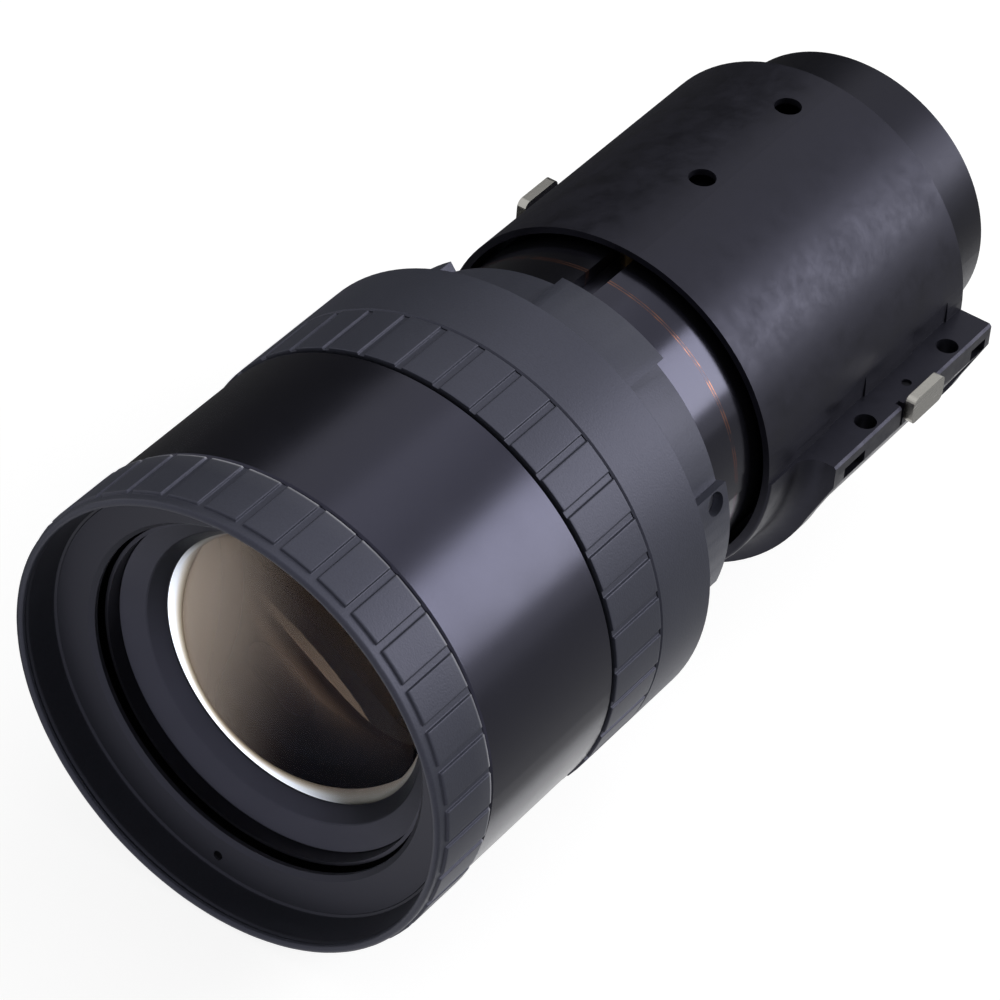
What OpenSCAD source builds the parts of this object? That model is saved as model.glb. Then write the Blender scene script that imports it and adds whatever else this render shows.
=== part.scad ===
// Long-throw zoom lens for a projector, with ribbed focus and zoom rings,
// a cam and guide barrel, four groups of glass and a saddle mount with wings.
// The optical axis lies along Y, the front looks towards -Y and +Z is up.
// The origin is on the axis, in the middle of the four wing holes.

/* [Rings] */
// Diameter over the grip pads, the widest round part
ring_d = 96; // [92:1:104]
// Height of a grip pad over the ring's skin
pad_h = 0.5; // [0.3:0.1:1]
// Width of the channel between two pads
pad_gap = 1.5; // [1:0.1:2.5]
// Number of pads around each ring
pad_count = 36; // [24:1:45]
// Length of the focus ring
focus_ring_len = 15.4; // [14:0.2:20]
// Length of the smooth rim in front of the focus ring's pads
front_rim_len = 2.3; // [1.5:0.1:3]
// Depth of the hood in front of the baffle
hood_depth = 8; // [6:0.2:8.4]
// Thickness of the rounded front lip
lip_t = 2; // [1.4:0.1:2.4]
// Length of the zoom ring's band of pads
zoom_grip_len = 14.1; // [12:0.1:18]
// Length of the zoom ring's plain band
zoom_cover_len = 16.2; // [14:0.2:22]

/* [Front barrel] */
// Length of the smooth barrel between the two rings
barrel_len = 37.6; // [36:0.2:44]
// Step from the pads down to the smooth barrel
barrel_step = 0.5; // [0.3:0.1:1]
// Wall of the smooth barrel
barrel_wall = 4; // [3:0.2:5]
// Thickness of the web that carries the inner barrels
web_t = 5; // [4:0.5:7]
// Wall of the bearing sleeve under the zoom ring
bearing_wall = 2; // [1.5:0.1:3]

/* [Skirt of the zoom ring] */
// Length of the skirt behind the zoom ring
skirt_len = 16.6; // [14:0.2:18]
// Wall of the skirt
skirt_wall = 2.9; // [2.4:0.1:4]
// Height of a drive land over the skirt
land_h = 2; // [1:0.1:3]
// Number of drive lands
land_count = 5; // [3:1:6]
// Angle that one land covers
land_angle = 34.5; // [20:0.5:45]
// Angle of the first land's lower side over the horizontal
land_first = 56.5; // [50:0.5:60]

/* [Guide and cam barrels] */
// Step from the grip pads down to the guide barrel
guide_drop = 13; // [12.6:0.1:14]
// Wall of the guide barrel
guide_wall = 3.2; // [2.6:0.1:4]
// Width of the three straight guide slots
guide_slot_w = 4.8; // [4.2:0.1:6]
// Wall of the cam barrel
cam_wall = 2.1; // [1.5:0.1:2.6]
// Stretch of the guide barrel that shows behind the skirt
guide_show = 18.2; // [14:0.2:22]
// Reach of the cam barrel under the mount's wings
cam_reach = 4.4; // [2:0.2:8]

/* [Motion] */
// Turn of the zoom ring from wide to long
zoom_angle = 60; // [50:1:60]
// Travel of the variator over that turn
variator_travel = 18; // [12:0.5:20]
// Travel of the compensator over that turn
compensator_travel = 8; // [4:0.5:10]
// Turn of the focus ring to either side
focus_angle = 50; // [30:5:60]
// Lead of the focus thread in one full turn
focus_lead = 12; // [8:0.5:14]

/* [Glass] */
// Wall of the front cell round the glasses
front_cell_wall = 7.6; // [7:0.1:10]
// Width of the seat that holds a front glass by its rim
front_seat = 4.9; // [3:0.1:6]
// Height of the front glass's dome
front_dome = 9.5; // [3:0.1:10]
// Height of the front glass's inner bulge
front_back_dome = 1.9; // [0.5:0.1:3]
// Depth of the hollows in the variator's glasses
variator_hollow = 1.9; // [0.5:0.1:2]
// Height of the bulges of the compensator's glasses
compensator_dome = 1.9; // [0.5:0.1:1.9]
// Height of the strongest bulges in the relay
relay_dome = 4.8; // [2:0.1:5]

/* [Mount] */
// Gap between the guide barrel and the mount sleeve
sleeve_gap = 1.6; // [1:0.1:2.2]
// Wall of the mount sleeve
sleeve_wall = 1.4; // [1.2:0.1:2.4]
// Length of the mount sleeve
sleeve_len = 69.9; // [68:0.1:76]
// Distance of the wings behind the sleeve's front rim
wing_back = 12.4; // [10:0.2:12.8]
// Length of the wings
wing_len = 57; // [54:0.5:57]
// Width of a wing beyond the sleeve
wing_width = 7.4; // [7:0.1:9]
// Height of the wings' outer sides
wing_side = 5; // [4.6:0.2:6]
// Chamfer along the wings' upper edge
wing_chamfer = 0.5; // [0.3:0.1:1.4]
// Height of the saddle over the sleeve
saddle_wall = 5.4; // [4.8:0.1:6]
// Distance from the wings' front to the first hole
hole_first = 15.4; // [14:0.2:16]
// Distance between the two holes of a row
hole_spacing = 30; // [28:0.5:30]
// Distance of the wing holes beyond the sleeve
hole_out = 4.2; // [4:0.1:4.4]
// Radius of the wing holes
wing_hole_r = 2.25; // [1.6:0.05:2.5]
// Depth of the wing holes
wing_hole_depth = 10; // [6:0.5:11]
// Radius of the two holes in the sleeve's top
top_hole_r = 2.75; // [2:0.05:3.5]
// Length that the rear tube stands out of the sleeve
rear_show = 19.2; // [14:0.2:30]
// Gap between the rear tube and the guide barrel's bore
rear_gap = 0.8; // [0.5:0.1:1.5]

/* [Locating keys] */
// Length of a key along the axis
key_len = 11.4; // [9:0.2:12]
// Thickness of a key's upright plate
key_t = 2; // [1.2:0.1:2.4]
// Height of the right key over the wing
right_key_rise = 1.4; // [1:0.1:3]
// Height of the left key over the wing
left_key_rise = 3; // [1:0.1:4]
// Depth of a key below the wing's top
key_drop = 4.6; // [4:0.1:5]
// Radius of the pin that holds a key
key_pin_r = 1; // [0.8:0.05:1.4]

/* [Hidden] */
$fn = 96;

// Overrun of every cut, running clearance of a fit, clearance of a seat and of a moving end
cut = 1;
run = 0.08;
seat = 0.04;
free = 0.3;
// Angles of the three guide slots and of the three drive screws at rest
third = 120;
slot_first = 90;
drive_first = 15.3;

// Radii, from the rings inwards
ring_r = ring_d / 2;
skin_r = ring_r - pad_h;
barrel_r = ring_r - barrel_step;
barrel_bore = barrel_r - barrel_wall;
bearing_r = barrel_bore + barrel_step;
nut_r = barrel_bore - free;
nut_wall = 1.9;
nut_bore = nut_r - nut_wall;
cell_r = nut_bore - run;
hood_r = ring_r - lip_t;
baffle_r = nut_r + nut_wall / 2;
hood_taper = 1.7;
cell_nose_wall = 0.7;
glass_r = cell_r - front_cell_wall;
front_clear_r = glass_r - front_seat;
retainer_lap = 1.9;
retainer_r = glass_r + retainer_lap;
cell_nose_r = retainer_r + seat + cell_nose_wall;
baffle_bore = cell_nose_r + 2 * free;
guide_r = ring_r - guide_drop;
guide_bore = guide_r - guide_wall;
cam_r = guide_bore - run;
cam_bore = cam_r - cam_wall;
cell_out = cam_bore - 2 * run;
skirt_bore = guide_r + 4 * free;
skirt_r = skirt_bore + skirt_wall;
land_r = skirt_r + land_h;
sleeve_bore = guide_r + sleeve_gap;
sleeve_r = sleeve_bore + sleeve_wall;
rear_r = guide_bore - rear_gap;
saddle_r = sleeve_r + saddle_wall;
wing_x = sleeve_r + wing_width;
hole_x = sleeve_r + hole_out;

// Stations along the axis, counted from the front rim
ring_gap = 0.5;
grip_gap = 0.2;
barrel_s = focus_ring_len + ring_gap;
zoom_s = barrel_s + barrel_len + ring_gap;
cover_s = zoom_s + zoom_grip_len + grip_gap;
skirt_s = cover_s + zoom_cover_len;
skirt_end = skirt_s + skirt_len;
sleeve_s = skirt_end + guide_show;
wing_s = sleeve_s + wing_back;
mount_s = wing_s + hole_first + hole_spacing / 2;
sleeve_end = sleeve_s + sleeve_len;
rear_end = sleeve_end + rear_show;

// Focus group: a stack that is seated from the retainer to the cell's rear lip
focus_travel = focus_lead * focus_angle / 360;
baffle_t = 3;
baffle_s = hood_depth + baffle_t;
nut_flange_t = 3;
cell_gap = 1;
cell_s = baffle_s + cell_gap;
retainer_in = 3;
retainer_s = cell_s + retainer_in;
retainer_dish = 2;
retainer_t = 5.9;
spacer_wall = 2.2;
second_hollow = 1.6;
third_dome = 3.4;
front_glass_s = retainer_s + retainer_t;
cell_lip_t = 1.5;
cell_tail = 4;
cell_room = 2.9;
web_end = zoom_s - ring_gap;
web_s = web_end - web_t;
cell_end = web_s - focus_travel - cell_room;
cell_lip_s = cell_end - cell_tail - cell_lip_t;
// Front glass, spacer, second glass, spacer and third glass share the stack's length
stack_shares = [0.26, 0.2, 0.17, 0.14, 0.23];
stack_len = cell_lip_s - front_glass_s;
front_rim_t = stack_len * stack_shares[0];
spacer_t = stack_len * stack_shares[1];
second_rim_t = stack_len * stack_shares[2];
second_spacer_t = stack_len * stack_shares[3];
third_rim_t = stack_len * stack_shares[4];
second_glass_s = front_glass_s + front_rim_t + spacer_t;
third_glass_s = second_glass_s + second_rim_t + second_spacer_t;
cell_nose_len = 7;
cell_shoulder_s = cell_s + cell_nose_len;
nut_end = web_s - 2 * free;
bearing_end = skirt_s - web_t - 2 * free;
guide_pin_r = 1.5;
guide_pin_circle = (cell_r + glass_r) / 2;
guide_pin_in = 8;

// Barrels and moving cells
guide_front_s = web_s - focus_travel / 2;
guide_flange_t = 2.6;
guide_flange_r = bearing_r - bearing_wall - 2 * free;
cam_seat = 2;
cam_s = web_end + guide_flange_t + cam_seat;
cam_end = wing_s + cam_reach;
cam_retainer_t = 3;
rear_wall_t = 3.2;
guide_room = 9.9;
guide_end = sleeve_end - rear_wall_t - guide_room;
roller_r = 1.9;
guide_roller_r = guide_slot_w / 2 - run;
pin_r = 1.4;
group_gap = 4;
variator_s = cam_s + group_gap;
variator_len = 18;
variator_pin_s = variator_s + variator_len / 2;
compensator_len = 16;
compensator_s = cam_end - compensator_len - group_gap;
compensator_pin_s = compensator_s + compensator_len / 2;
slot_front = variator_pin_s - guide_roller_r - cut;
slot_back = compensator_pin_s + guide_roller_r + cut;
cell_wall = 3.4;
cell_bore = cell_out - cell_wall;
small_clear = cell_bore - 1.8;
small_rim_t = 4.4;
small_retainer_t = 2;
drive_in = 4;
drive_s = skirt_end - drive_in;
drive_hole_r = 2.4;
drive_screw_r = drive_hole_r - run;
drive_dog_r = 1.7;
drive_slot_half = 2.1;

// Relay group in the rear tube
seat_shoulder_len = 8;
seat_shoulder_s = wing_s + 2 * cut;
rear_tube_in = 22;
rear_tube_s = guide_end - rear_tube_in;
rear_collar_len = 5;
rear_wall = 2.6;
rear_bore = rear_r - rear_wall;
relay_rim_t = 4;
relay_lip = 2.4;
relay_clear = rear_bore - relay_lip;
relay_lip_t = 1.6;
relay_front_s = rear_tube_s + relay_lip_t;
rear_retainer_t = 3;
rear_retainer_in = 1.2;
rear_retainer_s = rear_end - rear_retainer_t - rear_retainer_in;
rear_groove_len = 1;
rear_groove_depth = 0.4;
rear_glass_s = rear_retainer_s - relay_rim_t;
relay_middle_s = (relay_front_s + rear_glass_s) / 2;
stop_t = 0.8;
stop_clear = relay_clear * 2 / 3;
stop_s = rear_tube_s - stop_t - seat;

// Mount details
plate_t = 2.5;
post_len = 3.6;
boss_len = 12.3;
boss_end = 4.5;
boss_s = mount_s - hole_spacing / 2 - boss_end;
rear_boss_s = mount_s + hole_spacing / 2 + boss_end - boss_len;
window_depth = 5;
window_lap = 0.6;
window_drop = wing_side + window_lap;
key_offset = 0.2;
key_s = mount_s - key_len / 2 + key_offset;
key_slot_depth = 0.2;
key_notch_len = 1.2;
key_notch_depth = 1.6;
key_x = wing_x - key_slot_depth + seat;
key_tongue_len = key_len - 3;
key_tongue_t = 1.8;
key_tongue_in = 6;
key_pin_x = hole_x - 0.2;
screw_r = 1.5;
screw_head_r = 2.6;
nose_step = 0.6;
nose_fillet = 4.4;
saddle_step = 0.7;
flank_lap = 3;
rib_len = 1.7;
relief_len = 12.6;
relief_h = 4.7;
relief_depth = 0.35;

// Lays a piece that is drawn along z from the front rim down on the optical axis
module on_axis() translate([0, -mount_s, 0]) rotate([-90, 0, 0]) children();

// Puts a child that is drawn along z on the radius at an angle over the horizontal
module radial(angle, s) rotate([0, 0, -angle]) translate([0, 0, s]) rotate([0, 90, 0]) children();

// A plain ring between two radii and two stations
module tube(inner, outer, from, to)
    rotate_extrude() translate([inner, from]) square([outer - inner, to - from]);

// A part of such a ring between two angles over the horizontal
module arc_tube(inner, outer, from, to, angle_from, angle_to)
    rotate([0, 0, -angle_to]) rotate_extrude(angle = angle_to - angle_from)
        translate([inner, from]) square([outer - inner, to - from]);

// Radius of the ball whose cap has that height over a circle
function ball_r(height, circle_r) = (circle_r * circle_r + height * height) / 2 / height;

// A round glass whose rim starts at s. Inside the clear radius a positive height
// is a bulge, a negative one is the depth of a hollow, and 0 is flat
module glass(rim_r, clear_r, rim_t, s, front, back) {
    translate([0, 0, s]) difference() {
        union() {
            cylinder(r = rim_r, h = rim_t);
            if (front > 0) bulge(clear_r, front, rim_t / 2);
            if (back > 0) translate([0, 0, rim_t]) mirror([0, 0, 1]) bulge(clear_r, back, rim_t / 2);
        }
        if (front < 0) translate([0, 0, -front - ball_r(-front, clear_r)])
            sphere(r = ball_r(-front, clear_r), $fn = 300);
        if (back < 0) translate([0, 0, rim_t + back + ball_r(-back, clear_r)])
            sphere(r = ball_r(-back, clear_r), $fn = 300);
    }
}

// A cap of a ball that stands out below zero, with a root above it
module bulge(clear_r, height, root) intersection() {
    translate([0, 0, -height]) cylinder(r = clear_r, h = height + root);
    translate([0, 0, ball_r(height, clear_r) - height])
        sphere(r = ball_r(height, clear_r), $fn = 300);
}

// The channels between the pads, cut down to the ring's skin
module pad_channels(from, to, phase) {
    for (i = [0 : pad_count - 1]) rotate([0, 0, -(phase + i * 360 / pad_count)])
        translate([skin_r, -pad_gap / 2, from]) cube([2 * pad_h, pad_gap, to - from]);
}

// Focus ring: moulded, with a rounded lip, a tapering hood and the pads around it
module focus_ring() color("#3a3c44") on_axis() difference() {
    lip_r = (skin_r - hood_r) / 2;
    rotate_extrude() union() {
        polygon([
            [hood_r, lip_r], [skin_r, lip_r], [skin_r, front_rim_len],
            [ring_r, front_rim_len], [ring_r, focus_ring_len - pad_h],
            [ring_r - pad_h, focus_ring_len], [baffle_r + seat, focus_ring_len],
            [baffle_r + seat, hood_depth], [baffle_r + seat + pad_h, hood_depth],
            [hood_r - hood_taper + pad_h, hood_depth - pad_h]]);
        translate([hood_r + lip_r, lip_r]) circle(r = lip_r, $fn = 24);
    }
    pad_channels(front_rim_len, focus_ring_len + cut, 0);
}

// Baffle: the flat black ring inside the hood, with a chamfered and stepped bore
module front_baffle() color("#25262b") on_axis() difference() {
    chamfer = 0.9;
    groove = 0.4;
    rotate_extrude() polygon([
        [baffle_r, hood_depth], [baffle_bore + chamfer, hood_depth + chamfer],
        [baffle_bore, hood_depth + 2 * chamfer], [baffle_bore, baffle_s - groove],
        [baffle_bore + groove, baffle_s - groove], [baffle_bore + groove, baffle_s],
        [baffle_r, baffle_s]]);
    for (i = [0 : 1]) rotate([0, 0, -baffle_screw_angle(i)])
        translate([baffle_screw_circle, 0, hood_depth - cut])
            cylinder(r = baffle_screw_r + run, h = baffle_t + 2 * cut, $fn = 32);
}
baffle_screw_r = 0.9;
baffle_screw_circle = (baffle_bore + baffle_r) / 2 + 1.1;
function baffle_screw_angle(i) = 262 + i * 180;

// Two small screws that hold the baffle on the nut's flange
module baffle_screws() color("#6f7176") on_axis() for (i = [0 : 1])
    rotate([0, 0, -baffle_screw_angle(i)])
        translate([baffle_screw_circle, 0, hood_depth + baffle_t / 4])
            cylinder(r = baffle_screw_r, h = baffle_t * 3 / 4 + nut_flange_t * 2 / 3, $fn = 32);

// Focus nut: the threaded tube that turns with the focus ring
module helicoid_nut() color("#b39a55") on_axis() difference() {
    union() {
        tube(nut_bore, nut_r, baffle_s, nut_end);
        tube(nut_bore, baffle_r, baffle_s, baffle_s + nut_flange_t);
    }
    for (i = [0 : 1]) rotate([0, 0, -baffle_screw_angle(i)])
        translate([baffle_screw_circle, 0, baffle_s - cut])
            cylinder(r = baffle_screw_r + run, h = nut_flange_t + cut, $fn = 32);
}

// Front cell: slides inside the nut and holds the front glasses
module front_cell() color("#202126") on_axis() difference() {
    rotate_extrude() polygon([
        [retainer_r + seat, cell_s], [cell_nose_r, cell_s], [cell_nose_r, cell_shoulder_s],
        [cell_r, cell_shoulder_s], [cell_r, cell_end], [glass_r, cell_end],
        [glass_r, cell_lip_s + cell_lip_t], [front_clear_r, cell_lip_s + cell_lip_t],
        [front_clear_r, cell_lip_s], [glass_r + seat, cell_lip_s],
        [glass_r + seat, front_glass_s], [retainer_r + seat, front_glass_s]]);
    for (i = [0 : 2]) rotate([0, 0, -(slot_first + i * third)])
        translate([guide_pin_circle, 0, cell_end - guide_pin_in])
            cylinder(r = guide_pin_r + run, h = guide_pin_in + cut);
}

// Retainer: the dished threaded ring that presses on the front glass
module front_retainer() color("#2c2d32") on_axis() rotate_extrude() polygon([
    [retainer_r, retainer_s], [front_clear_r, retainer_s + retainer_dish],
    [front_clear_r, front_glass_s], [retainer_r, front_glass_s]]);

module front_element() color("#9fb4c8", 0.5) on_axis()
    glass(glass_r, front_clear_r - seat, front_rim_t, front_glass_s + seat,
        front_dome, front_back_dome);
module front_spacer() color("#202126") on_axis()
    tube(glass_r - spacer_wall, glass_r, front_glass_s + front_rim_t + 2 * seat, second_glass_s);
module second_element() color("#9fb4c8", 0.5) on_axis()
    glass(glass_r, front_clear_r - seat, second_rim_t, second_glass_s + seat, -second_hollow, 0);
module second_spacer() color("#202126") on_axis()
    tube(glass_r - spacer_wall, glass_r, second_glass_s + second_rim_t + 2 * seat, third_glass_s);
module third_element() color("#9fb4c8", 0.5) on_axis()
    glass(glass_r, front_clear_r - seat, third_rim_t - 2 * seat, third_glass_s + seat,
        0, third_dome);

// Front barrel: turned aluminium, with the web that carries the inner barrels and
// the bearing sleeve that the zoom ring turns on
module front_barrel() color("#2b2c31") on_axis() difference() {
    chamfer = barrel_step;
    rotate_extrude() polygon([
        [barrel_bore, barrel_s], [barrel_r - chamfer, barrel_s], [barrel_r, barrel_s + chamfer],
        [barrel_r, web_end - chamfer], [barrel_r - chamfer, web_end], [bearing_r, web_end],
        [bearing_r, bearing_end], [bearing_r - bearing_wall, bearing_end],
        [bearing_r - bearing_wall, web_end], [guide_r + seat, web_end],
        [guide_r + seat, web_s], [barrel_bore, web_s]]);
    for (i = [0 : 2]) rotate([0, 0, -(slot_first + i * third)])
        translate([guide_pin_circle, 0, web_s - cut])
            cylinder(r = guide_pin_r + seat, h = web_t / 2 + cut);
    for (i = [0 : 3]) rotate([0, 0, -(45 + i * 90)])
        translate([(guide_r + guide_flange_r) / 2, 0, web_end - web_t / 2])
            cylinder(r = barrel_screw_r + seat, h = web_t, $fn = 32);
}
barrel_screw_r = 1;

// Three pins that keep the front cell from turning
module focus_guide_pins() color("#c9cacc") on_axis() for (i = [0 : 2])
    rotate([0, 0, -(slot_first + i * third)])
        translate([guide_pin_circle, 0, cell_end - guide_pin_in + focus_travel + cut])
            cylinder(r = guide_pin_r,
                h = web_s + web_t / 2 - (cell_end - guide_pin_in + focus_travel + cut));

// Four screws that hold the guide barrel's flange on the web
module barrel_screws() color("#8b8d92") on_axis() for (i = [0 : 3])
    rotate([0, 0, -(45 + i * 90)]) translate([(guide_r + guide_flange_r) / 2, 0, 0]) {
        translate([0, 0, web_end - web_t / 2 + seat])
            cylinder(r = barrel_screw_r, h = web_t / 2 + guide_flange_t, $fn = 32);
        translate([0, 0, web_end + guide_flange_t + seat])
            cylinder(r = 2 * barrel_screw_r, h = barrel_screw_r, $fn = 32);
    }

// Zoom grip: the band of pads that is pressed on the zoom ring's sleeve
module zoom_grip() color("#3a3c44") on_axis() difference() {
    rotate_extrude() polygon([
        [grip_seat_r + seat, zoom_s], [skin_r, zoom_s], [ring_r, zoom_s + pad_h / 5],
        [ring_r, zoom_s + zoom_grip_len - pad_h / 5], [skin_r, zoom_s + zoom_grip_len],
        [grip_seat_r + seat, zoom_s + zoom_grip_len]]);
    pad_channels(zoom_s - cut, zoom_s + zoom_grip_len + cut, 180 / pad_count);
}
grip_seat_r = (bearing_r + skin_r) / 2;

// Zoom cover: the plain band, the sleeve under the grip and the skirt with its lands
module zoom_cover() color("#383a42") on_axis() difference() {
    chamfer = 0.4;
    union() {
        rotate_extrude() polygon([
            [bearing_r + run, zoom_s], [grip_seat_r, zoom_s], [grip_seat_r, cover_s],
            [ring_r - chamfer, cover_s], [ring_r, cover_s + chamfer],
            [ring_r, skirt_s - chamfer], [ring_r - chamfer, skirt_s],
            [skirt_r, skirt_s], [skirt_r, skirt_end - chamfer], [skirt_r - chamfer, skirt_end],
            [skirt_bore, skirt_end], [skirt_bore, skirt_s - web_t],
            [bearing_r + run, skirt_s - web_t]]);
        for (i = [0 : land_count - 1])
            arc_tube(skirt_r - chamfer, land_r, skirt_s - chamfer, skirt_end,
                land_first + i * 360 / land_count, land_first + i * 360 / land_count + land_angle);
    }
    for (i = [0 : 2]) radial(drive_first + i * third, drive_s)
        cylinder(r = drive_hole_r, h = land_r + cut, $fn = 48);
}

// Three dog-point screws that drive the cam barrel through the guide barrel
module drive_screws() color("#a4a6aa") on_axis() for (i = [0 : 2])
    radial(drive_first + i * third, drive_s) difference() {
        union() {
            translate([0, 0, cam_bore + free])
                cylinder(r = drive_dog_r, h = skirt_bore - cam_bore, $fn = 48);
            translate([0, 0, skirt_bore + run])
                cylinder(r = drive_screw_r, h = skirt_wall - 4 * run, $fn = 48);
        }
        translate([0, 0, skirt_r - drive_dog_r])
            cylinder(r = drive_screw_r / 2, h = drive_dog_r + cut, $fn = 6);
    }

// Guide barrel: polished black tube with three straight slots for the rollers and
// three curved ones for the drive screws
module guide_barrel() color("#1b1c20") on_axis() difference() {
    union() {
        tube(guide_bore, guide_r, guide_front_s, guide_end);
        tube(cam_bore + cut, guide_bore + cut, guide_front_s, cam_s - seat);
        tube(guide_bore + cut, guide_flange_r, web_end + seat, web_end + guide_flange_t);
        tube(guide_bore + cut, sleeve_bore - seat, seat_shoulder_s,
            seat_shoulder_s + seat_shoulder_len);
    }
    for (i = [0 : 2]) {
        guide_slot(slot_first + i * third);
        drive_slot(drive_first + i * third);
    }
    for (i = [0 : 3]) rotate([0, 0, -(45 + i * 90)])
        translate([(guide_r + guide_flange_r) / 2, 0, web_end])
            cylinder(r = barrel_screw_r + seat, h = guide_flange_t + cut, $fn = 32);
    for (side = [-1, 1]) radial(270 + side * saddle_screw_angle, seat_shoulder_s + seat_shoulder_len / 2)
        translate([0, 0, guide_bore - cut]) cylinder(r = screw_r + seat, h = sleeve_gap * 4 + guide_wall);
}
saddle_screw_angle = 25;

module guide_slot(angle) {
    radial(angle, slot_front) cylinder(r = guide_slot_w / 2, h = guide_r + cut, $fn = 48);
    radial(angle, slot_back) cylinder(r = guide_slot_w / 2, h = guide_r + cut, $fn = 48);
    rotate([0, 0, -angle]) translate([0, -guide_slot_w / 2, slot_front])
        cube([guide_r + cut, guide_slot_w, slot_back - slot_front]);
}

module drive_slot(angle) {
    spare = asin(drive_slot_half / cam_r);
    arc_tube(guide_bore - cut, guide_r + cut, drive_s - drive_slot_half,
        drive_s + drive_slot_half, angle - spare, angle + zoom_angle + spare);
}

// Cam barrel: three slanted slots move the variator and three the compensator
module cam_barrel() color("#8e8f94") on_axis() difference() {
    tube(cam_bore, cam_r, cam_s, cam_end);
    for (i = [0 : 2]) {
        cam_slot(slot_first + i * third, variator_pin_s, variator_travel);
        cam_slot(slot_first + i * third, compensator_pin_s, -compensator_travel);
        radial(drive_first + i * third, drive_s)
            translate([0, 0, cam_bore - cut])
                cylinder(r = drive_dog_r + seat, h = cam_wall + 2 * cut, $fn = 48);
    }
}

// One slanted slot: straight runs on the unrolled barrel, joined on its round
module cam_slot(angle, s, travel) {
    runs = 6;
    half = roller_r + 2 * run;
    arc = zoom_angle / runs * PI / 180 * cam_r;
    rise = travel / runs;
    length = sqrt(arc * arc + rise * rise);
    for (k = [0 : runs - 1])
        radial(angle - (k + 0.5) * zoom_angle / runs, s + (k + 0.5) * rise)
            rotate([0, 0, atan2(rise, arc)]) translate([-half, -length * 0.54, cam_bore - cut])
                cube([2 * half, length * 1.08, cam_wall + 2 * cut]);
    for (k = [0, runs]) radial(angle - k * zoom_angle / runs, s + k * rise)
        translate([0, 0, cam_bore - cut])
            cylinder(r = half + run / 2, h = cam_wall + 2 * cut, $fn = 48);
}

// Ring that holds the cam barrel in from behind
module cam_retainer() color("#2c2d32") on_axis()
    tube(cam_bore + cut, guide_bore - seat, cam_end + run, cam_end + run + cam_retainer_t);

// A sliding cell: a sleeve with a lip in the middle and a glass on either side
module sliding_cell(s, length, pin_s) difference() {
    union() {
        tube(cell_bore, cell_out, s, s + length);
        tube(small_clear, cell_bore + seat, s + small_retainer_t + small_rim_t,
            s + length - small_retainer_t - small_rim_t);
    }
    for (i = [0 : 2]) radial(slot_first + i * third, pin_s)
        translate([0, 0, cell_bore - cut]) cylinder(r = pin_r + seat, h = cell_wall + 2 * cut);
}

// The pins of a cell, each with a roller in the cam and one in the guide slot
module rollers(pin_s) for (i = [0 : 2]) radial(slot_first + i * third, pin_s) {
    translate([0, 0, cell_bore + seat]) cylinder(r = pin_r, h = cell_wall + run);
    translate([0, 0, cell_out + run / 2]) cylinder(r = roller_r, h = cam_r - cell_out);
    translate([0, 0, cam_r]) cylinder(r = guide_roller_r, h = guide_wall - run);
}

module cell_ring(s, t) tube(small_clear, cell_bore - seat, s, s + t);

// The glass of a sliding cell whose rim starts at s
module cell_glass(s, front, back)
    glass(cell_bore - seat, small_clear - seat, small_rim_t - 2 * seat, s + seat, front, back);

module variator_cell() color("#202126") on_axis()
    sliding_cell(variator_s, variator_len, variator_pin_s);
module variator_front_element() color("#9fb4c8", 0.5) on_axis()
    cell_glass(variator_s + small_retainer_t, -variator_hollow / 2, -variator_hollow);
module variator_rear_element() color("#9fb4c8", 0.5) on_axis()
    cell_glass(variator_s + variator_len - small_retainer_t - small_rim_t, -variator_hollow, 0);
module variator_retainer() color("#2c2d32") on_axis() {
    cell_ring(variator_s, small_retainer_t);
    cell_ring(variator_s + variator_len - small_retainer_t, small_retainer_t);
}
module variator_rollers() color("#b39a55") on_axis() rollers(variator_pin_s);

module compensator_cell() color("#202126") on_axis()
    sliding_cell(compensator_s, compensator_len, compensator_pin_s);
module compensator_front_element() color("#9fb4c8", 0.5) on_axis()
    cell_glass(compensator_s + small_retainer_t, compensator_dome, 0);
module compensator_rear_element() color("#9fb4c8", 0.5) on_axis()
    cell_glass(compensator_s + compensator_len - small_retainer_t - small_rim_t,
        0, compensator_dome);
module compensator_retainer() color("#2c2d32") on_axis() {
    cell_ring(compensator_s, small_retainer_t);
    cell_ring(compensator_s + compensator_len - small_retainer_t, small_retainer_t);
}
module compensator_rollers() color("#b39a55") on_axis() rollers(compensator_pin_s);

// Stop: the thin ring that limits the beam in front of the relay
module stop_ring() color("#1b1c20") on_axis()
    tube(stop_clear, guide_bore - seat, stop_s, stop_s + stop_t);

// Rear tube: holds the relay glasses and reaches into the projector
module rear_tube() color("#2b2c31") on_axis() {
    chamfer = 0.8;
    rotate_extrude() polygon([
        [relay_clear, rear_tube_s], [guide_bore - seat, rear_tube_s],
        [guide_bore - seat, rear_tube_s + rear_collar_len],
        [rear_r, rear_tube_s + rear_collar_len], [rear_r, guide_end - rear_collar_len],
        [guide_bore - seat, guide_end - rear_collar_len], [guide_bore - seat, guide_end],
        [rear_r, guide_end], [rear_r, sleeve_end], [rear_r - rear_groove_depth, sleeve_end],
        [rear_r - rear_groove_depth, sleeve_end + rear_groove_len],
        [rear_r, sleeve_end + rear_groove_len], [rear_r, rear_end - chamfer], [rear_r - chamfer, rear_end],
        [rear_bore, rear_end], [rear_bore, relay_front_s], [relay_clear, relay_front_s]]);
}

// A glass of the relay whose rim starts at s
module relay_glass(s, front, back)
    glass(rear_bore - seat, relay_clear - seat, relay_rim_t - 2 * seat, s + seat, front, back);

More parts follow.
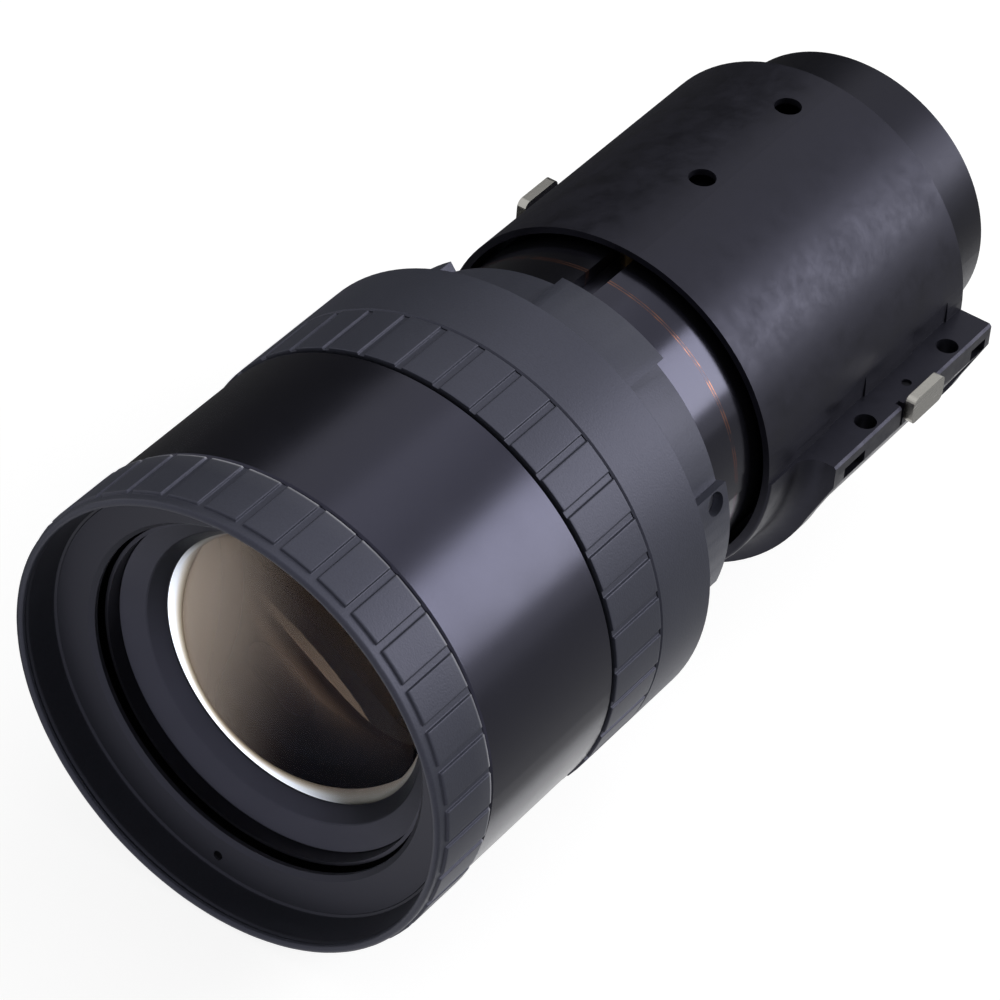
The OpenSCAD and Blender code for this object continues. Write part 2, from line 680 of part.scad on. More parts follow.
module relay_front_element() color("#9fb4c8", 0.5) on_axis()
    relay_glass(relay_front_s, 0, relay_dome);
module relay_spacer() color("#202126") on_axis()
    tube(relay_clear, rear_bore - seat, relay_front_s + relay_rim_t, relay_middle_s);
module relay_middle_element() color("#9fb4c8", 0.5) on_axis()
    relay_glass(relay_middle_s, -relay_dome / 2, 0);
module relay_rear_spacer() color("#202126") on_axis()
    tube(relay_clear, rear_bore - seat, relay_middle_s + relay_rim_t, rear_glass_s);
module rear_element() color("#9fb4c8", 0.5) on_axis()
    relay_glass(rear_glass_s, relay_dome, relay_dome / 2);
module rear_retainer() color("#2c2d32") on_axis() rotate_extrude() polygon([
    [relay_clear, rear_retainer_s], [rear_bore - seat, rear_retainer_s],
    [rear_bore - seat, rear_retainer_s + rear_retainer_t],
    [relay_clear + 1, rear_retainer_s + rear_retainer_t],
    [relay_clear, rear_retainer_s + rear_retainer_t - 1]]);

// Half of the mount's outline: a wing with a chamfer, and a straight flank that
// runs on to the saddle's round
module wing_outline(r) {
    reach = sqrt(wing_x * wing_x + wing_side * wing_side);
    touch = -atan2(wing_side, wing_x) - acos(r / reach) - flank_lap;
    inside = r * cos(flank_lap);
    polygon([[0, 0], [wing_x - wing_chamfer, 0], [wing_x, -wing_chamfer],
        [wing_x, -wing_side], [inside * cos(touch), inside * sin(touch)]]);
}

// The whole outline of the mount's lower half
module mount_outline(r) difference() {
    union() {
        intersection() {
            circle(r = r, $fn = 180);
            translate([-r, -r]) square([2 * r, r]);
        }
        wing_outline(r);
        mirror([1, 0, 0]) wing_outline(r);
    }
    circle(r = sleeve_bore + sleeve_wall / 2, $fn = 180);
}

// Draws its children above the line where the wings' tops lie, with up as +y
module upright(from, to) translate([0, 0, from]) linear_extrude(to - from)
    mirror([0, 1, 0]) children();

// A block between two x, two heights and two stations, on both sides of the axis
module both_sides(x0, x1, z0, z1, s0, s1) for (side = [0, 1])
    mirror([side, 0, 0]) translate([x0, -z1, s0]) cube([x1 - x0, z1 - z0, s1 - s0]);

// Mount sleeve: a thin sleeve above, a thick saddle below and a wing at either side
module mount_sleeve() color("#3c3d43") on_axis() difference() {
    union() {
        tube(sleeve_bore, sleeve_r, sleeve_s, sleeve_end);
        tube(rear_r + seat, sleeve_bore + seat, sleeve_end - rear_wall_t, sleeve_end);
        nose();
        upright(wing_s, wing_s + wing_len) mount_outline(saddle_r - saddle_step);
        upright(wing_s, wing_s + post_len) mount_outline(saddle_r);
        upright(wing_s + wing_len - rib_len, wing_s + wing_len) mount_outline(saddle_r);
    }
    wing_pockets();
    mount_holes();
}

// The lower half of the sleeve's nose is thicker, has a rounded rim and runs out
// into the saddle's front face in a fillet
module nose() {
    steps = 6;
    r = sleeve_r + nose_step;
    inner = sleeve_bore + sleeve_wall / 4;
    rotate_extrude(angle = 180) polygon(concat(
        [[inner, sleeve_s], [r - nose_step, sleeve_s]],
        [for (i = [0 : steps]) [r - nose_step + nose_step * sin(90 * i / steps),
            sleeve_s + nose_step - nose_step * cos(90 * i / steps)]],
        [for (i = [0 : steps]) [r + nose_fillet - nose_fillet * cos(90 * i / steps),
            wing_s - nose_fillet + nose_fillet * sin(90 * i / steps)]],
        [[r + nose_fillet, wing_s + nose_step], [inner, wing_s + nose_step]]));
}

// Pockets, windows and key slots that lighten the wings
module wing_pockets() {
    both_sides(wing_x - window_depth, wing_x + cut, -window_drop, -plate_t,
        wing_s + post_len, boss_s);
    both_sides(wing_x - window_depth, wing_x + cut, -window_drop, -plate_t,
        rear_boss_s + boss_len, wing_s + wing_len - post_len / 2);
    both_sides(wing_x - key_slot_depth, wing_x + cut, -wing_side * 2, cut,
        key_s - seat, key_s + key_len + seat);
    both_sides(wing_x - key_notch_depth, wing_x + cut, -wing_side * 2, cut,
        key_s - key_notch_len, key_s);
    both_sides(wing_x - key_tongue_in, wing_x, -plate_t - key_tongue_t - seat, -plate_t, key_s + (key_len - key_tongue_len) / 2 - seat,
        key_s + (key_len + key_tongue_len) / 2 + seat);
    for (hole = [-1, 1]) both_sides(sleeve_r - relief_depth, sleeve_r + cut, 0, relief_h,
        mount_s + hole * hole_spacing / 2 - relief_len / 2,
        mount_s + hole * hole_spacing / 2 + relief_len / 2);
}

// Wing holes, top holes, key pin holes and the saddle's two countersunk holes
module mount_holes() {
    for (side = [-1, 1], hole = [-1, 1])
        translate([side * hole_x, -cut, mount_s + hole * hole_spacing / 2]) rotate([-90, 0, 0])
            cylinder(r = wing_hole_r, h = wing_hole_depth + cut);
    for (side = [-1, 1]) translate([side * key_pin_x, -cut, key_s + key_len / 2])
        rotate([-90, 0, 0]) cylinder(r = key_pin_r + seat, h = wing_side + plate_t + cut);
    for (hole = [-1, 1]) radial(90, mount_s + hole * hole_spacing / 2)
        translate([0, 0, sleeve_bore - cut]) cylinder(r = top_hole_r, h = sleeve_wall + 2 * cut);
    for (side = [-1, 1])
        radial(270 + side * saddle_screw_angle, seat_shoulder_s + seat_shoulder_len / 2) {
            translate([0, 0, sleeve_bore - cut]) cylinder(r = screw_r + seat, h = saddle_r);
            translate([0, 0, saddle_r - screw_head_r]) cylinder(r = screw_head_r + seat, h = saddle_r);
        }
}

// Two screws that hold the saddle on the guide barrel
module sleeve_screws() color("#8b8d92") on_axis() for (side = [-1, 1])
    radial(270 + side * saddle_screw_angle, seat_shoulder_s + seat_shoulder_len / 2)
        difference() {
            union() {
                translate([0, 0, guide_bore + 2 * seat])
                    cylinder(r = screw_r, h = saddle_r - guide_bore - screw_head_r);
                translate([0, 0, saddle_r - screw_head_r + seat])
                    cylinder(r = screw_head_r, h = screw_head_r * 0.7);
            }
            translate([0, 0, saddle_r - screw_r]) cylinder(r = screw_r * 0.8, h = screw_r + cut, $fn = 6);
        }

// Locating key: a plated block with rounded ends and a tongue in the wing
module key(rise) difference() {
    round_r = 1.5;
    union() {
        translate([key_x, 0, key_s]) rotate([0, 90, 0]) linear_extrude(key_t)
            offset(r = round_r, $fn = 24) offset(delta = -round_r)
                translate([-key_len, -rise]) square([key_len, rise + key_drop]);
        translate([wing_x - key_tongue_in + seat, plate_t + seat, key_s + (key_len - key_tongue_len) / 2])
            cube([key_tongue_in + seat, key_tongue_t - seat, key_tongue_len]);
    }
    translate([key_pin_x, 0, key_s + key_len / 2]) rotate([-90, 0, 0])
        cylinder(r = key_pin_r + seat, h = wing_side + plate_t);
}
module right_key() color("#c8c6bf") on_axis() key(right_key_rise);
module left_key() color("#c8c6bf") on_axis() mirror([1, 0, 0]) key(left_key_rise);

// Pins that go down through the wings and the keys' tongues
module key_pins() color("#8b8d92") on_axis() for (side = [-1, 1])
    translate([side * key_pin_x, key_pin_r / 2, key_s + key_len / 2]) rotate([-90, 0, 0])
        cylinder(r = key_pin_r, h = wing_side + plate_t - key_pin_r);

focus_ring();
front_baffle();
baffle_screws();
helicoid_nut();
front_cell();
front_retainer();
front_element();
front_spacer();
second_element();
second_spacer();
third_element();
front_barrel();
focus_guide_pins();
barrel_screws();
zoom_grip();
zoom_cover();
drive_screws();
guide_barrel();
cam_barrel();
cam_retainer();
variator_cell();
variator_front_element();
variator_rear_element();
variator_retainer();
variator_rollers();
compensator_cell();
compensator_front_element();
compensator_rear_element();
compensator_retainer();
compensator_rollers();
stop_ring();
rear_tube();
relay_front_element();
relay_spacer();
relay_middle_element();
relay_rear_spacer();
rear_element();
rear_retainer();
mount_sleeve();
sleeve_screws();
right_key();
left_key();
key_pins();
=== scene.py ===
import math

import bmesh
import bpy
import numpy as np
from mathutils import Matrix, Vector


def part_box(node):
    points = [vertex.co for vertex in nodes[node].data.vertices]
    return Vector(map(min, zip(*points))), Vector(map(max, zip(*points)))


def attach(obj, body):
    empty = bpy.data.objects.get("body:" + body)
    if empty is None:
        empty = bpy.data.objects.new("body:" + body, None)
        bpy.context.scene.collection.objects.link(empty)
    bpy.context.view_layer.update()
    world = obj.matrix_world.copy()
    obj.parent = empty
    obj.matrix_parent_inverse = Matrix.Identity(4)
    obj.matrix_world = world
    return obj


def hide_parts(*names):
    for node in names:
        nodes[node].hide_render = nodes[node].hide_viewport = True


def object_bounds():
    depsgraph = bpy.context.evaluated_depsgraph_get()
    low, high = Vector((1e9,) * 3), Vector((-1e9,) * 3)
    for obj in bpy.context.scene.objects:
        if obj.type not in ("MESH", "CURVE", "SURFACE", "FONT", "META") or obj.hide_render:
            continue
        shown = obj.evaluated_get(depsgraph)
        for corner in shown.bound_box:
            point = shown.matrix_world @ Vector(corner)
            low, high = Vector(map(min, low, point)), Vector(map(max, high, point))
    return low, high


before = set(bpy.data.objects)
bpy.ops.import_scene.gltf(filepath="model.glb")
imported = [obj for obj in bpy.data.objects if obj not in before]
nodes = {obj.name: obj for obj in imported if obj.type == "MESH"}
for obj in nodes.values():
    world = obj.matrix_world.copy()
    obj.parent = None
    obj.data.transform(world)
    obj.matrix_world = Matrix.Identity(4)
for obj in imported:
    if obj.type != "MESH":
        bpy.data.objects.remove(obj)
cad_low, cad_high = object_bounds()

# Camera
# A long studio lens looks down on the front right of the object from 0.9 m.
# Its place was solved from the rings, the barrels and the wing holes.
MM = 0.001
front_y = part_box("focus_ring")[0].y
azimuth, elevation, roll = math.radians(32.3), math.radians(40.8), math.radians(5.06)
backwards = Vector((
    math.sin(azimuth) * math.cos(elevation),
    -math.cos(azimuth) * math.cos(elevation),
    math.sin(elevation),
))
level = Vector((math.cos(azimuth), math.sin(azimuth), 0))
right = level * math.cos(roll) + backwards.cross(level) * math.sin(roll)
up = backwards.cross(right)
# Centre of the front rim, seen from the camera: to the right, up and backwards
rim_seen = Vector((-49.36, -41.06, -906.03)) * MM
camera = bpy.data.objects.new("camera", bpy.data.cameras.new("camera"))
bpy.context.scene.collection.objects.link(camera)
camera.data.sensor_width = 36
camera.data.lens = 183.89
camera.data.clip_start = 0.05
camera.matrix_world = Matrix((right, up, backwards)).transposed().to_4x4()
camera.location = Vector((0, front_y, 0)) - right * rim_seen.x - up * rim_seen.y - backwards * rim_seen.z
bpy.context.scene.camera = camera
bpy.context.scene.view_settings.view_transform = "Standard"


# Studio
# A white paper floor, a long softbox behind the right side, a soft light overhead,
# and a black card on the left that darkens that flank of the glossy barrels.
def linear(hex_colour):
    """sRGB hex to linear RGBA: c / 12.92 up to 0.04045, above it ((c + 0.055) / 1.055) ^ 2.4."""
    srgb = np.array([int(hex_colour[i:i + 2], 16) for i in (1, 3, 5)]) / 255
    shown = np.where(srgb <= 0.04045, srgb / 12.92, ((srgb + 0.055) / 1.055) ** 2.4)
    return (*shown.tolist(), 1.0)


def add_node(tree, kind, inputs=None, **settings):
    """Adds a node, sets its settings, and fills its inputs with values or links."""
    added = tree.nodes.new(kind)
    for name, value in settings.items():
        setattr(added, name, value)
    for name, value in (inputs or {}).items():
        if isinstance(value, bpy.types.NodeSocket):
            tree.links.new(value, added.inputs[name])
        else:
            added.inputs[name].default_value = value
    return added


def new_material(name):
    """A new material and its node tree, cleared of all nodes."""
    material = bpy.data.materials.new(name)
    material.use_nodes = True
    material.node_tree.nodes.clear()
    return material, material.node_tree


world = bpy.data.worlds.new("white studio")
bpy.context.scene.world = world
world.use_nodes = True
tree = world.node_tree
tree.nodes.clear()
# The eye, mirrors and glass see the studio white, while matt surfaces get a weaker fill
fill_level = 0.3
path = add_node(tree, "ShaderNodeLightPath")
seen = add_node(tree, "ShaderNodeMath", {0: path.outputs["Is Camera Ray"],
                                         1: path.outputs["Is Glossy Ray"]}, operation="MAXIMUM")
seen = add_node(tree, "ShaderNodeMath", {0: seen.outputs[0],
                                         1: path.outputs["Is Transmission Ray"]}, operation="MAXIMUM")
strength = add_node(tree, "ShaderNodeMapRange", {"Value": seen.outputs[0], "To Min": fill_level,
                                                 "To Max": 1.0})
background = add_node(tree, "ShaderNodeBackground", {"Color": (1, 1, 1, 1),
                                                     "Strength": strength.outputs[0]})
add_node(tree, "ShaderNodeOutputWorld", {"Surface": background.outputs[0]})


def flat_card(name, centre, across, along, material):
    """A rectangle of stage: centre plus and minus half of the two edge vectors."""
    corners = [centre + across * a / 2 + along * b / 2 for a, b in ((-1, -1), (1, -1), (1, 1), (-1, 1))]
    mesh = bpy.data.meshes.new(name)
    mesh.from_pydata(corners, [], [(0, 1, 2, 3)])
    mesh.materials.append(material)
    card = bpy.data.objects.new(name, mesh)
    bpy.context.scene.collection.objects.link(card)
    return card


paper, tree = new_material("white_floor_paper")
path = add_node(tree, "ShaderNodeLightPath")
seen = add_node(tree, "ShaderNodeMath", {0: path.outputs["Is Camera Ray"],
                                         1: path.outputs["Is Glossy Ray"]}, operation="MAXIMUM")
# The paper glows to the eye so that its lit part is pure white and only the shadow is grey
paper_glow = 0.86
glow = add_node(tree, "ShaderNodeMath", {0: seen.outputs[0], 1: paper_glow}, operation="MULTIPLY")
surface = add_node(tree, "ShaderNodeBsdfPrincipled", {
    "Base Color": linear("#a0a0a0"), "Roughness": 0.9, "Specular IOR Level": 0.0,
    "Emission Color": (1, 1, 1, 1), "Emission Strength": glow.outputs[0]})
add_node(tree, "ShaderNodeOutputMaterial", {"Surface": surface.outputs[0]})
floor_z = cad_low.z - 0.2 * MM
floor_size = 6.0
flat_card("floor", Vector((0, 0, floor_z)), Vector((floor_size, 0, 0)), Vector((0, floor_size, 0)), paper)


def reflected_card(name, centre, across, along, shade):
    """A card of one shade from 0 to 1 that shows only in the reflections of glossy surfaces."""
    material, tree = new_material(name + "_board")
    surface = add_node(tree, "ShaderNodeEmission", {"Color": (shade, shade, shade, 1), "Strength": 1.0})
    add_node(tree, "ShaderNodeOutputMaterial", {"Surface": surface.outputs[0]})
    card = flat_card(name, centre, across, along, material)
    card.visible_camera = False
    card.visible_diffuse = False
    card.visible_shadow = False
    card.visible_transmission = False


card_z = floor_z + 0.1 * MM
reflected_card("black_card", Vector((-0.95, 0.8, 0.45)), Vector((0.9, 0.75, 0)), Vector((0, 0, 1)),
               0.05)
reflected_card("black_floor_card", Vector((-0.56, 0.35, card_z)), Vector((1, 0, 0)),
               Vector((0, 1.1, 0)), 0.05)
reflected_card("grey_floor_card", Vector((0.56, 0.35, card_z)), Vector((1, 0, 0)),
               Vector((0, 1.1, 0)), 0.4)


def softbox(name, direction, distance, width, height, radiance):
    """A rectangular lamp that looks at the object's middle. Its power is radiance x pi x area."""
    lamp = bpy.data.lights.new(name, "AREA")
    lamp.shape = "RECTANGLE"
    lamp.size, lamp.size_y = width, height
    lamp.energy = radiance * math.pi * width * height
    placed = bpy.data.objects.new(name, lamp)
    towards = Vector(direction).normalized()
    placed.rotation_euler = towards.to_track_quat("Z", "Y").to_euler()
    placed.location = Vector((0, front_y / 3, 0)) + towards * distance
    bpy.context.scene.collection.objects.link(placed)


softbox("long_softbox", (0.63, 0.64, 0.43), 1.1, 0.46, 0.62, 6.8)
softbox("overhead_light", (0.1, 0.3, 0.95), 1.3, 0.9, 0.9, 0.75)


# Focus ring
# The ribbed ring at the front is moulded in one piece with the lip and the hood. It is
# glass-filled nylon, with 36 raised pads between shallow channels, and turns on a thread.
def closed_grid(name, radius, station, angle, wear_and_painted_highlight=None):
    """Surface P(u, a) = (r cos a, y0 + s, r sin a), with r(u, a) and s(u) in mm.

    Both parameters close on themselves: u runs round the section with s growing on
    its outer side, and a runs round the optical axis. wear(u, a) is kept as an attribute:
    pale wear together with a painted highlight.
    """
    radius = np.broadcast_to(radius, (len(station), len(angle))) * MM
    points = np.stack([radius * np.cos(angle), np.broadcast_to(
        front_y + np.asarray(station)[:, None] * MM, radius.shape), radius * np.sin(angle)], axis=-1)
    index = np.arange(radius.size).reshape(radius.shape)
    ahead = np.roll(index, -1, axis=0)
    quads = np.stack([index, ahead, np.roll(ahead, -1, axis=1), np.roll(index, -1, axis=1)], axis=-1)
    mesh = bpy.data.meshes.new(name)
    mesh.from_pydata(points.reshape(-1, 3), [], quads.reshape(-1, 4))
    mesh.shade_smooth()
    if wear_and_painted_highlight is not None:
        layer = mesh.attributes.new("wear_and_painted_highlight", "FLOAT", "POINT")
        layer.data.foreach_set("value", np.broadcast_to(wear_and_painted_highlight, radius.shape).astype(np.float32).ravel())
    piece = bpy.data.objects.new(name, mesh)
    bpy.context.scene.collection.objects.link(piece)
    return piece


def eased_section(corners, steps=4):
    """Closed section in (r, s) with each corner (r, s, e) rounded by an arc of radius e.

    The arc touches both sides at t = e tan(turn / 2) from the corner and has its centre
    on the bisector. A point at 1.5 t on each side keeps the flat sides flat.
    """
    corners = np.asarray(corners, float)
    place, ease = corners[:, :2], corners[:, 2]
    before = np.roll(place, 1, axis=0) - place
    after = np.roll(place, -1, axis=0) - place
    before /= np.linalg.norm(before, axis=1)[:, None]
    after /= np.linalg.norm(after, axis=1)[:, None]
    half = np.arccos(np.clip((before * after).sum(1), -1, 1)) / 2
    touch = (ease / np.tan(half))[:, None]
    bisector = before + after
    bisector /= np.linalg.norm(bisector, axis=1)[:, None]
    centre = place + bisector * (ease / np.sin(half))[:, None]
    share = np.linspace(0, 1, steps + 1)[None, :, None]
    first, last = place + before * touch, place + after * touch
    arm = (first - centre)[:, None] * (1 - share) + (last - centre)[:, None] * share
    arm *= ease[:, None, None] / np.linalg.norm(arm, axis=2)[:, :, None]
    arc = centre[:, None] + arm
    rounded = np.concatenate([(place + before * touch * 1.5)[:, None], arc,
                              (place + after * touch * 1.5)[:, None]], axis=1)
    return rounded.reshape(-1, 2)


pad_count = 36
pad_height = 0.5
channel_half = 0.75
wall_half = 0.13


def pad_angles(radius, phase):
    """Angles round a ring, close together at the pads' walls, and the pads' height V there.

    With d the distance in mm from the nearest channel's middle, V(d) = x x (3 - 2 x),
    where x = (d - channel_half + wall_half) / (2 wall_half), kept between 0 and 1.
    """
    pitch = 2 * math.pi * radius / pad_count
    walls = channel_half + wall_half * np.array([-2.4, -1.0, -0.6, -0.2, 0.2, 0.6, 1.0, 2.4, 7.0])
    across = np.concatenate([[0], walls, [pitch / 2], pitch - walls[::-1]])
    x = np.clip((np.minimum(across, pitch - across) - channel_half + wall_half) / (2 * wall_half), 0, 1)
    turns = np.arange(pad_count)[:, None] * 2 * math.pi / pad_count
    return (turns + across / radius + phase).ravel(), np.tile(x * x * (3 - 2 * x), pad_count)


ring_low, ring_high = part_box("focus_ring")
ring_r = ring_high.x / MM
ring_len = (ring_high.y - ring_low.y) / MM
skin_r = ring_r - pad_height
lip_r = 0.75
hood_r = skin_r - 2 * lip_r
hood_end_r = hood_r - 1.2
baffle_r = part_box("front_baffle")[1].x / MM
hood_depth = (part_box("front_baffle")[0].y - front_y) / MM
pads_from = 2.3
pad_round = 0.45


def focus_ring_section():
    """The ring's section as radius, station and the share of the pads' height at each point.

    The lip is a half round. Over the pads' front wall and their rounded rear end the share
    is a sine quarter, and the hood's wall is a cone with one fine groove behind the lip.
    """
    quarter = np.linspace(0, math.pi / 2, 6)
    half = np.linspace(math.pi, 2 * math.pi, 15)
    lip = np.stack([hood_r + lip_r + lip_r * np.cos(half), lip_r + lip_r * np.sin(half)], 1)
    inner = np.array([(hood_r - 0.14, 1.62), (hood_r + 0.02, 1.45), (hood_r + 0.02, 1.25),
                      (hood_r - 0.06, 1.1), (hood_r - 0.04, 0.95)])
    rim_s = np.array([lip_r + 0.2, 1.6, pads_from - 0.15])
    front_s = pads_from + 0.22 * (1 - np.cos(quarter))
    front_lift = np.sin(quarter) ** 2
    middle_s = np.array([pads_from + 0.6, 6.0, 11.0, ring_len - pad_round - 0.3])
    rear_s = ring_len - pad_round + pad_round * np.sin(quarter) * 0.98
    rear_lift = np.cos(quarter)
    outer_s = np.concatenate([rim_s, front_s, middle_s, rear_s])
    lift = np.concatenate([np.zeros(3), front_lift, np.ones(4), rear_lift])
    outer = np.stack([np.full(len(outer_s), skin_r), outer_s], 1)
    return outer, lift, inner, lip


outer, lift, inner, lip = focus_ring_section()
rear = np.array([(skin_r - 0.12, ring_len), (baffle_r + 0.2, ring_len), (baffle_r + 0.04, ring_len - 0.15),
                 (baffle_r + 0.04, hood_depth + 0.2), (baffle_r + 0.14, hood_depth),
                 (hood_end_r - 0.15, hood_depth), (hood_end_r, hood_depth - 0.3),
                 (hood_end_r + 0.02, hood_depth - 0.6), (hood_r - 0.2, 2.2)])
section = np.concatenate([lip, outer, rear, inner])
lift = np.concatenate([np.zeros(len(lip)), lift, np.zeros(len(rear) + len(inner))])
angle, height = pad_angles(ring_r, 0)
# Handling has polished the rear edge of the pads, more in some places than in others, and a
# painted highlight lies on the same pale line: a bell curve along s, times a slow and a
# quick wave round the ring
rub_and_highlight_s = ring_len - 0.28
rub_and_highlight_width = 0.26
rub_and_highlight = np.exp(-((section[:, 1:] - rub_and_highlight_s) / rub_and_highlight_width) ** 2) * (lift[:, None] > 0) * height
rub_and_highlight = rub_and_highlight * (0.6 + 0.25 * np.sin(3 * angle - 4.2) + 0.15 * np.sin(11 * angle))
focus_ring = closed_grid("focus_ring_moulding", section[:, :1] + pad_height * lift[:, None] * height,
                         section[:, 1], angle, rub_and_highlight)
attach(focus_ring, "focus_body")
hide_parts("focus_ring")


def eroded_plastic(name, colour, pale, roughness, grain, depth, shine=0.5):
    """Moulded plastic with a spark-eroded skin: grain as bump, and a faint cloudy bloom.

    Grain and depth are in mm. The shine is how much a straight view reflects, 0.5 for the
    bare plastic. Where the mesh carries a wear attribute, the skin is painted pale by it:
    partly wear and partly a painted highlight.
    """
    material, tree = new_material(name)
    where = add_node(tree, "ShaderNodeTexCoord")
    fine = add_node(tree, "ShaderNodeTexNoise", {"Vector": where.outputs["Object"],
                                                 "Scale": 1 / (grain * MM), "Detail": 3.0})
    cloud = add_node(tree, "ShaderNodeTexNoise", {"Vector": where.outputs["Object"],
                                                  "Scale": 1 / (14 * MM), "Detail": 2.0})
    bloom = add_node(tree, "ShaderNodeMix", {"Factor": cloud.outputs[0], "A": linear(colour),
                                             "B": linear(pale)}, data_type="RGBA")
    speck = add_node(tree, "ShaderNodeMapRange", {"Value": fine.outputs[0], "From Min": 0.3,
                                                  "From Max": 0.7, "To Min": 0.86, "To Max": 1.14})
    shade = add_node(tree, "ShaderNodeVectorMath", {0: bloom.outputs["Result"],
                                                    1: speck.outputs[0]}, operation="MULTIPLY")
    # Pale by the attribute: wear, and a painted highlight on the same edge
    rub_and_highlight = add_node(tree, "ShaderNodeAttribute", attribute_name="wear_and_painted_highlight")
    shade = add_node(tree, "ShaderNodeMix", {"Factor": rub_and_highlight.outputs["Fac"], "A": shade.outputs[0],
                                             "B": linear("#c8c9cf")}, data_type="RGBA")
    rough = add_node(tree, "ShaderNodeMapRange", {"Value": fine.outputs[0], "To Min": roughness - 0.06,
                                                  "To Max": roughness + 0.06})
    bump = add_node(tree, "ShaderNodeBump", {"Strength": 0.6, "Distance": depth * MM,
                                             "Height": fine.outputs[0]})
    surface = add_node(tree, "ShaderNodeBsdfPrincipled", {
        "Base Color": shade.outputs["Result"], "Roughness": rough.outputs[0], "IOR": 1.5,
        "Specular IOR Level": shine, "Specular Tint": linear("#dcdcff"), "Normal": bump.outputs[0]})
    add_node(tree, "ShaderNodeOutputMaterial", {"Surface": surface.outputs[0]})
    return material


# Spark-eroded nylon: a fine even grain that spreads the highlight. The real grain is
# about 0.15 mm and is drawn at 0.4 mm so that it shows.
ring_nylon = eroded_plastic("moulded_nylon_spark_eroded", "#30323a", "#383a43", 0.46, 0.4, 0.055)
focus_ring.data.materials.append(ring_nylon)
# Inside the hood the same nylon is smoother, and drawn darker
hood_nylon_darker = eroded_plastic("moulded_nylon_darker_inside", "#1f2025", "#25262c", 0.42, 0.4, 0.012, 0.3)
focus_ring.data.materials.append(hood_nylon_darker)
inside = np.minimum(section[:, 0], np.roll(section[:, 0], -1)) < hood_r - 0.05
focus_ring.data.polygons.foreach_set("material_index", np.repeat(inside.astype(np.int32), angle.size))


# Baffle, its screws and the focus nut
# The baffle is a flat aluminium ring sprayed matt black against stray light. Two small
# steel screws hold it on the brass nut whose thread moves the front glass.
def eased_copy(node, name, width, material):
    """A merged copy of a CAD node whose sharp edges get a small bevel of that width in mm."""
    mesh = bpy.data.meshes.new(name)
    work = bmesh.new()
    work.from_mesh(nodes[node].data)
    bmesh.ops.remove_doubles(work, verts=work.verts, dist=0.002 * MM)
    bmesh.ops.dissolve_limit(work, angle_limit=math.radians(0.3), verts=work.verts, edges=work.edges)
    work.to_mesh(mesh)
    work.free()
    mesh.shade_smooth()
    mesh.set_sharp_from_angle(angle=math.radians(25))
    mesh.materials.clear()
    mesh.materials.append(material)
    piece = bpy.data.objects.new(name, mesh)
    bpy.context.scene.collection.objects.link(piece)
    bevel = piece.modifiers.new("edge", "BEVEL")
    bevel.width = width * MM
    bevel.segments = 2
    bevel.limit_method = "ANGLE"
    bevel.angle_limit = math.radians(35)
    bevel.harden_normals = True
    return piece


# Sprayed matt paint: soft, almost black, with a light line only on the turned edges
hood_paint = eroded_plastic("sprayed_matt_black", "#17181b", "#1c1d21", 0.5, 0.5, 0.02)
baffle = eased_copy("front_baffle", "front_baffle_eased", 0.3, hood_paint)
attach(baffle, "focus_body")
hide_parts("front_baffle")


def finish(names, material):
    """Gives carried-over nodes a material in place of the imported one."""
    for name in names:
        nodes[name].data.materials.clear()
        nodes[name].data.materials.append(material)


def plain_metal(name, colour, roughness, spacing, axis):
    """Metal with machining marks: noise stretched 20 times along the cut, spacing mm apart.

    Real marks are about 0.05 mm apart, and are drawn coarser so that they show.
    """
    material, tree = new_material(name)
    where = add_node(tree, "ShaderNodeTexCoord")
    stretch = [1 / (spacing * MM)] * 3
    stretch[axis] /= 20
    marks = add_node(tree, "ShaderNodeMapping", {"Vector": where.outputs["Object"], "Scale": stretch})
    noise = add_node(tree, "ShaderNodeTexNoise", {"Vector": marks.outputs[0], "Scale": 1.0})
    rough = add_node(tree, "ShaderNodeMapRange", {"Value": noise.outputs[0],
                                                  "To Min": roughness * 0.7, "To Max": roughness * 1.3})
    bump = add_node(tree, "ShaderNodeBump", {"Strength": 0.2, "Distance": 0.02 * MM,
                                             "Height": noise.outputs[0]})
    surface = add_node(tree, "ShaderNodeBsdfPrincipled", {
        "Base Color": linear(colour), "Metallic": 1.0, "Roughness": rough.outputs[0],
        "Normal": bump.outputs[0]})
    add_node(tree, "ShaderNodeOutputMaterial", {"Surface": surface.outputs[0]})
    return material


# Steel blackened in hot oxide, almost black in its hole
black_steel = plain_metal("black_oxide_steel", "#26262a", 0.35, 0.3, 2)
finish(["baffle_screws"], black_steel)
# The nut's brass is blackened, so that it throws no light into the glass
finish(["helicoid_nut"], plain_metal("blackened_brass", "#1d1a17", 0.45, 0.2, 1))


